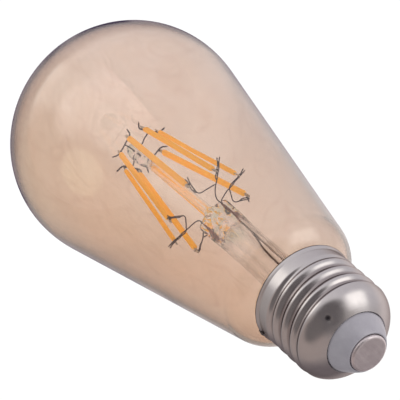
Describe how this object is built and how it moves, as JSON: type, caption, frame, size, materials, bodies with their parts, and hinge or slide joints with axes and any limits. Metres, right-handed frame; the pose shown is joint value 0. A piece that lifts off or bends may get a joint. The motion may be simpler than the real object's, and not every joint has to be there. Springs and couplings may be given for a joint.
{
  "type": "led filament light bulb",
  "caption": "Pear-shaped amber glass light bulb with a conical cage of filament strips on a glass stem and a screw cap.",
  "frame": {"origin": "centre of the contact's flat face, where the bulb meets the lampholder's spring contact", "axes": "+Z along the bulb's axis and out of the cap, so the bulb hangs cap-up; +X is across the stem's flat press"},
  "size_m": [0.064, 0.064, 0.1381],
  "materials": {
    "amber_glass": "clear amber, gloss",
    "clear_glass": "clear, gloss",
    "nickel_plate": "nickel plate, semi-gloss",
    "contact_metal": "satin",
    "grey_insulator": "semi-gloss",
    "cap_cement": "matte",
    "phosphor": "satin silicone with phosphor",
    "support_wire": "oxidised nickel wire",
    "lead_wire": "copper-clad wire",
    "circuit_board": "green solder mask",
    "black_package": "moulded epoxy",
    "capacitor_sleeve": "shrink sleeve",
    "tinned_steel": "tin plate",
    "ferrite": "matte",
    "enamelled_copper": "enamelled copper",
    "resistor_body": "lacquer",
    "red_insulation": "satin",
    "solder": "dull"
  },
  "bodies": {
    "root": {"glass_envelope": "amber_glass", "stem_flare": "clear_glass", "exhaust_tube": "clear_glass", "stem_rod": "clear_glass", "screw_shell": "nickel_plate", "centre_contact": "contact_metal", "cap_insulator": "grey_insulator", "cap_cement": "cap_cement", "filament_1": "phosphor", "filament_2": "phosphor", "filament_3": "phosphor", "filament_4": "phosphor", "filament_5": "phosphor", "filament_6": "phosphor", "filament_7": "phosphor", "filament_8": "phosphor", "top_link_1": "support_wire", "top_link_2": "support_wire", "top_link_3": "support_wire", "top_link_4": "support_wire", "bottom_link_1": "support_wire", "bottom_link_2": "support_wire", "bottom_link_3": "support_wire", "bottom_link_4": "support_wire", "lead_live": "lead_wire", "lead_neutral": "lead_wire", "neutral_wire": "lead_wire", "driver_board": "circuit_board", "radio_board": "circuit_board", "bridge_rectifier": "black_package", "driver_chip": "black_package", "input_capacitor": "capacitor_sleeve", "radio_shield": "tinned_steel", "inductor_core": "ferrite", "inductor_winding": "enamelled_copper", "radio_antenna": "enamelled_copper", "fusible_resistor": "resistor_body", "live_wire": "red_insulation", "rim_solder": "solder"}
  },
  "joints": []
}
